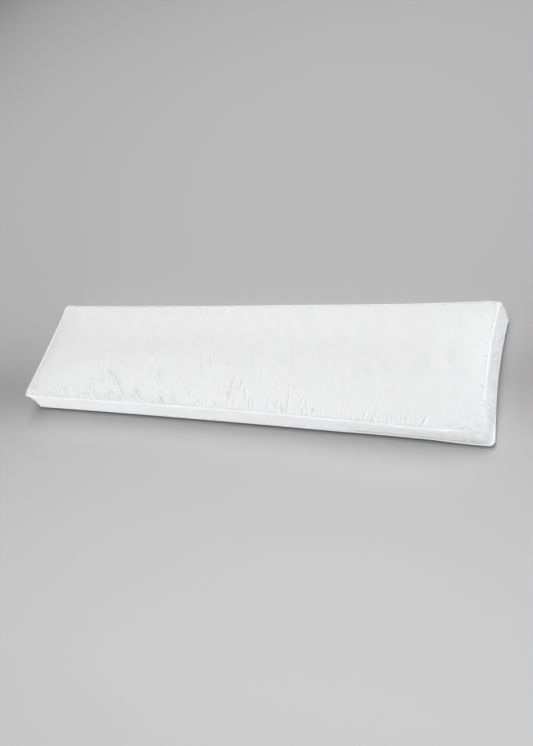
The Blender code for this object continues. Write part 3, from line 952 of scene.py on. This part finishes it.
def add_piping(name, seam_level, tilts, bedding, sunk):
    select_only(cover)
    bpy.ops.object.duplicate()
    line = bpy.context.object
    line.name = name
    cut_x, cut_y, level = get_cut(line.data)
    edge = np.minimum(LENGTH / 2 - abs(cut_x), WIDTH / 2 - abs(cut_y)) < CELL_X / 8
    keep = edge & (abs(level - seam_level) < 1e-4)
    _, _, out_x, out_y = pillow_plan(cut_x, cut_y, level)
    tilt = np.radians(side_value(tilts, out_x, out_y))
    corner = ease(1.0 - np.hypot(LENGTH / 2 - cut_x, WIDTH / 2 + cut_y) / SUNK_REACH)
    reach = PIPING_RADIUS - side_value(bedding, out_x, out_y) - sunk * corner
    shift = np.stack((out_x * np.cos(tilt), out_y * np.cos(tilt), np.sin(tilt)), axis=1)
    set_points(line.data, get_points(line.data) + reach[:, None] * shift)
    line.data.vertices.foreach_set("select", ~keep)
    line.data.edges.foreach_set("select", np.zeros(len(line.data.edges), bool))
    line.data.polygons.foreach_set("select", np.zeros(len(line.data.polygons), bool))
    bpy.ops.object.mode_set(mode="EDIT")
    bpy.ops.mesh.select_mode(type="VERT")
    bpy.ops.mesh.delete(type="VERT")
    bpy.ops.object.mode_set(mode="OBJECT")
    bpy.ops.object.convert(target="CURVE")
    line.data.bevel_depth = PIPING_RADIUS
    line.data.bevel_resolution = 4
    bpy.ops.object.convert(target="MESH")
    bpy.ops.object.shade_smooth()
    print(name, len(line.data.polygons), "cells")
    return line


piping_top = add_piping("top_piping", 0.0, TOP_TILTS, TOP_BEDDING, SUNK)
piping_bottom = add_piping("bottom_piping", 1.0, BOTTOM_TILTS, BOTTOM_BEDDING, 0.0)

# %% [markdown]
# ## Cotton
# The cover is down-proof cotton: a dense plain weave with threads about a quarter of a millimetre
# wide. Its threads follow the cut of each panel, so the weave is drawn on a UV map in metres.

# %% weave map
def add_weave_map(obj):
    cut_x, cut_y, level = get_cut(obj.data)
    corners = np.empty(len(obj.data.loops), np.int32)
    obj.data.loops.foreach_get("vertex_index", corners)
    corners = corners.reshape(-1, 4)
    x, y, down = cut_x[corners], cut_y[corners], level[corners]
    is_strip = (down.mean(axis=1) > 1e-4) & (down.mean(axis=1) < 1 - 1e-4)
    on_end = np.abs(x).min(axis=1) > LENGTH / 2 - CELL_X / 8
    along = np.where(on_end[:, None], y, x)
    u = np.where(is_strip[:, None], along, x)
    v = np.where(is_strip[:, None], down * (SEAM_Z - BOTTOM_SEAM_Z), y)
    weave = obj.data.uv_layers.new(name="weave")
    weave.data.foreach_set("uv", np.stack((u, v), axis=2).ravel())
    print("strip cells:", int(is_strip.sum()))


add_weave_map(cover)

# %% cotton material
THREAD = 0.0005           # from one thread to the next
WEAVE_RELIEF = 0.00005
SHEEN = 0.12


def plain_weave(nodes, links, u, v):
    """A height from 0 to 1 that goes over and under with the threads."""
    waves = []
    for axis in (u, v):
        angle = add_node(nodes, "Math", operation="MULTIPLY")
        angle.inputs[1].default_value = math.pi / THREAD
        links.new(axis, angle.inputs[0])
        wave = add_node(nodes, "Math", operation="SINE")
        links.new(angle.outputs["Value"], wave.inputs[0])
        waves.append(wave.outputs["Value"])
    over = add_node(nodes, "Math", operation="MULTIPLY")
    links.new(waves[0], over.inputs[0])
    links.new(waves[1], over.inputs[1])
    height = add_node(nodes, "Math", operation="MULTIPLY_ADD")
    height.inputs[1].default_value = height.inputs[2].default_value = 0.5
    links.new(over.outputs["Value"], height.inputs[0])
    return height.outputs["Value"]


def cotton(name, dark, light, patches, crumple, weave_map=None):
    """Matt cotton: soft patches of colour, small crumples and the weave."""
    material, nodes, links = new_material(name)
    shader = nodes["Principled BSDF"]
    shader.inputs["Roughness"].default_value = 0.85
    shader.inputs["Specular IOR Level"].default_value = 0.25
    shader.inputs["Sheen Weight"].default_value = SHEEN
    shader.inputs["Sheen Roughness"].default_value = 0.5
    place = add_node(nodes, "TexCoord")
    clouds = add_node(nodes, "TexNoise", Scale=patches, Detail=3.0)
    links.new(place.outputs["Object"], clouds.inputs["Vector"])
    tint = colour_between(nodes, links, clouds.outputs["Fac"], dark, light, 0.35, 0.65)
    links.new(tint, shader.inputs["Base Color"])
    soft = add_node(nodes, "TexNoise", Scale=70.0, Detail=3.0)
    links.new(place.outputs["Object"], soft.inputs["Vector"])
    rumple = add_node(nodes, "Bump", Strength=1.0, Distance=crumple)
    links.new(soft.outputs["Fac"], rumple.inputs["Height"])
    threads = add_node(nodes, "Bump", Strength=1.0, Distance=WEAVE_RELIEF)
    axes = add_node(nodes, "SeparateXYZ")
    if weave_map:
        cut_place = add_node(nodes, "UVMap", uv_map=weave_map)
        links.new(cut_place.outputs["UV"], axes.inputs["Vector"])
    else:
        links.new(place.outputs["Object"], axes.inputs["Vector"])
    weave_height = plain_weave(nodes, links, axes.outputs["X"], axes.outputs["Y"])
    links.new(weave_height, threads.inputs["Height"])
    links.new(rumple.outputs["Normal"], threads.inputs["Normal"])
    links.new(threads.outputs["Normal"], shader.inputs["Normal"])
    return material


cover.data.materials.clear()
cover.data.materials.append(cotton("cotton", (0.868, 0.869, 0.873), (0.879, 0.879, 0.881),
                                   36.0, 0.0005, "weave"))
# the piping is the same cotton, painted paler than the cover: painted light for the brightness its
# ridge catches
piping_cotton_painted_light = cotton("piping_cotton_painted_light", (0.92, 0.92, 0.925), (0.96, 0.96, 0.965), 30.0, 0.0002)
for cord in (piping_top, piping_bottom):
    cord.data.materials.clear()
    cord.data.materials.append(piping_cotton_painted_light)

# %% [markdown]
# ## Pieces on the body
# Each piece rides on the pillow's one body and stands for its solid, which is hidden.

# %% ride, replace
for piece, node, slot in ((cover, "cushion", "cotton_white"),
                          (piping_top, "piping_top", "piping_top_cord"),
                          (piping_bottom, "piping_bottom", "piping_bottom_cord")):
    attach(piece, "root")
    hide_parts(node)
